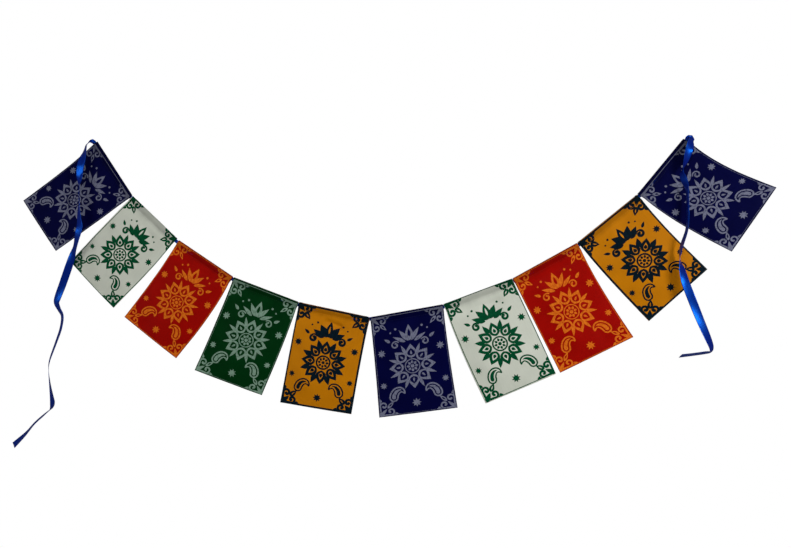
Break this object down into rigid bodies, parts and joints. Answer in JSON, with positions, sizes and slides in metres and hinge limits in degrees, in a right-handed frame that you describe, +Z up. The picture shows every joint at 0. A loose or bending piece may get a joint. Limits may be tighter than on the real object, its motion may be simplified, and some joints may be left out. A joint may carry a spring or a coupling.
{
  "type": "string of prayer flags",
  "caption": "Garland of small printed satin flags threaded by their hollow top hems on one satin ribbon, hung in a curve, with free ribbon ends for tying.",
  "frame": {"origin": "middle of the ribbon where it comes out of the top left corner of the first flag", "axes": "+X runs from the left end of the garland to the right end, +Y away from the printed faces, +Z up"},
  "size_m": [0.9884, 0.0235, 0.4157],
  "materials": {
    "navy_satin": "navy polyester satin with silver-grey screen print",
    "white_satin": "warm white polyester satin with green screen print",
    "red_satin": "red polyester satin with orange screen print",
    "green_satin": "dark green polyester satin with silver-green screen print",
    "yellow_satin": "yellow-orange polyester satin with dark navy-teal screen print",
    "blue_ribbon": "royal blue satin ribbon, glossy"
  },
  "bodies": {
    "root": {"flag_01_navy": "navy_satin", "flag_02_white": "white_satin", "flag_03_red": "red_satin", "flag_04_green": "green_satin", "flag_05_yellow": "yellow_satin", "flag_06_navy": "navy_satin", "flag_07_white": "white_satin", "flag_08_red": "red_satin", "flag_09_yellow": "yellow_satin", "flag_10_navy": "navy_satin", "ribbon": "blue_ribbon"}
  },
  "joints": []
}
